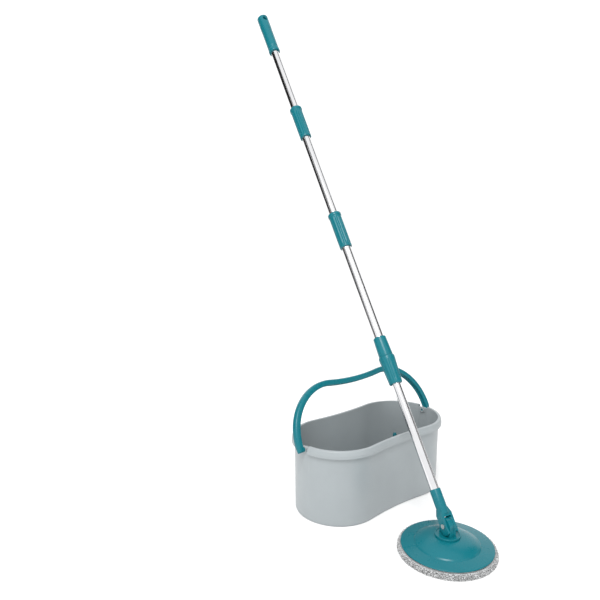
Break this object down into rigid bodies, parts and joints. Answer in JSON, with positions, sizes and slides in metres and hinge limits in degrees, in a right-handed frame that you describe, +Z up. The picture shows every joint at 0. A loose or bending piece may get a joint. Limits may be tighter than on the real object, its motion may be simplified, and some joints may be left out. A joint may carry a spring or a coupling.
{
  "type": "spin mop with bucket",
  "caption": "Spin mop with a round microfibre head on a tilting, telescoping chromed handle, and its figure-eight bucket with a swinging carry handle and a spinning post.",
  "frame": {"origin": "on the floor under the middle of the bucket, centre of the bucket's flat base", "axes": "+Z up, +X along the bucket's long axis towards the lobe that holds the spindle, +Y to the back; the mop stands in front of the bucket, towards -Y"},
  "size_m": [0.443, 0.9205, 1.2267],
  "materials": {
    "bucket_grey": "satin moulded polypropylene, pale cool grey",
    "teal_plastic": "satin moulded polypropylene, deep teal",
    "dark_plastic": "plain moulded, near black",
    "white_plastic": "plain moulded, off-white",
    "chromed_tube": "bright chromed steel tube",
    "plain_steel": "zinc plated steel",
    "microfibre": "short microfibre pile, pale grey flecked with darker grey",
    "backing_cloth": "woven backing cloth",
    "hook_tape": "hook tape"
  },
  "bodies": {
    "bucket": {"bucket_shell": "bucket_grey", "spindle_base": "teal_plastic", "spindle_collar": "teal_plastic", "spindle_tip": "teal_plastic", "spindle_screws": "plain_steel"},
    "bail": {"bail_handle": "teal_plastic", "bail_caps": "bucket_grey"},
    "mop_head": {"mop_plate": "teal_plastic", "base_plate": "white_plastic", "base_screws": "plain_steel", "hook_ring": "hook_tape", "pad_backing": "backing_cloth", "microfibre_pad": "microfibre", "bearing_insert": "white_plastic", "retaining_ring": "dark_plastic", "hub": "teal_plastic", "hub_screws": "plain_steel"},
    "socket_cup": {"socket_cup": "dark_plastic"},
    "lower_tube": {"yoke": "teal_plastic", "hinge_pin": "plain_steel", "pin_clip": "plain_steel", "lower_tube": "chromed_tube", "clutch_housing": "dark_plastic", "drive_nut": "dark_plastic", "clutch_cap": "dark_plastic"},
    "guide_ring": {"guide_ring": "dark_plastic"},
    "upper_handle": {"tube_3": "chromed_tube", "tube_2": "chromed_tube", "tube_1": "chromed_tube", "coupling_2": "teal_plastic", "coupling_1": "teal_plastic", "joint_plug_2": "dark_plastic", "joint_plug_1": "dark_plastic", "guide_bush": "dark_plastic", "lock_sleeve": "teal_plastic", "lock_collet": "dark_plastic", "drive_rod": "plain_steel", "rod_plug": "dark_plastic", "rod_pin": "plain_steel", "grip": "teal_plastic", "grip_plug": "dark_plastic"},
    "lock_ring": {"lock_ring": "teal_plastic"}
  },
  "joints": [
    {"name": "bail_swing", "type": "hinge", "parent": "bucket", "child": "bail", "pos_m": [0, 0, 0.1655], "axis": [1, 0, 0], "range_deg": [-64, 116]},
    {"name": "mop_lift", "type": "slide", "parent": "bucket", "child": "mop_head", "axis": [0, 0, 1], "range_m": [0, 0.3]},
    {"name": "socket_spin", "type": "hinge", "parent": "mop_head", "child": "socket_cup", "pos_m": [-0.058, -0.279, 0.015], "axis": [0, 0, 1], "continuous": true},
    {"name": "head_tilt", "type": "hinge", "parent": "mop_head", "child": "lower_tube", "pos_m": [-0.058, -0.279, 0.058], "axis": [0.986, -0.1668, 0], "range_deg": [-12, 115]},
    {"name": "handle_turn", "type": "hinge", "parent": "lower_tube", "child": "guide_ring", "pos_m": [-0.01184, -0.00608, 0.44893], "axis": [-0.0964, -0.5698, -0.8161], "range_deg": [0, 720]},
    {"name": "handle_press", "type": "slide", "parent": "guide_ring", "child": "upper_handle", "axis": [-0.0964, -0.5698, -0.8161], "range_m": [0, 0.16]},
    {"name": "lock_turn", "type": "hinge", "parent": "upper_handle", "child": "lock_ring", "pos_m": [-0.02557, -0.08727, 0.33263], "axis": [-0.0964, -0.5698, -0.8161], "range_deg": [0, 75]}
  ],
  "couplings": [
    {"joint": "handle_turn", "follows": "handle_press", "rad_per_m": 78.54}
  ]
}
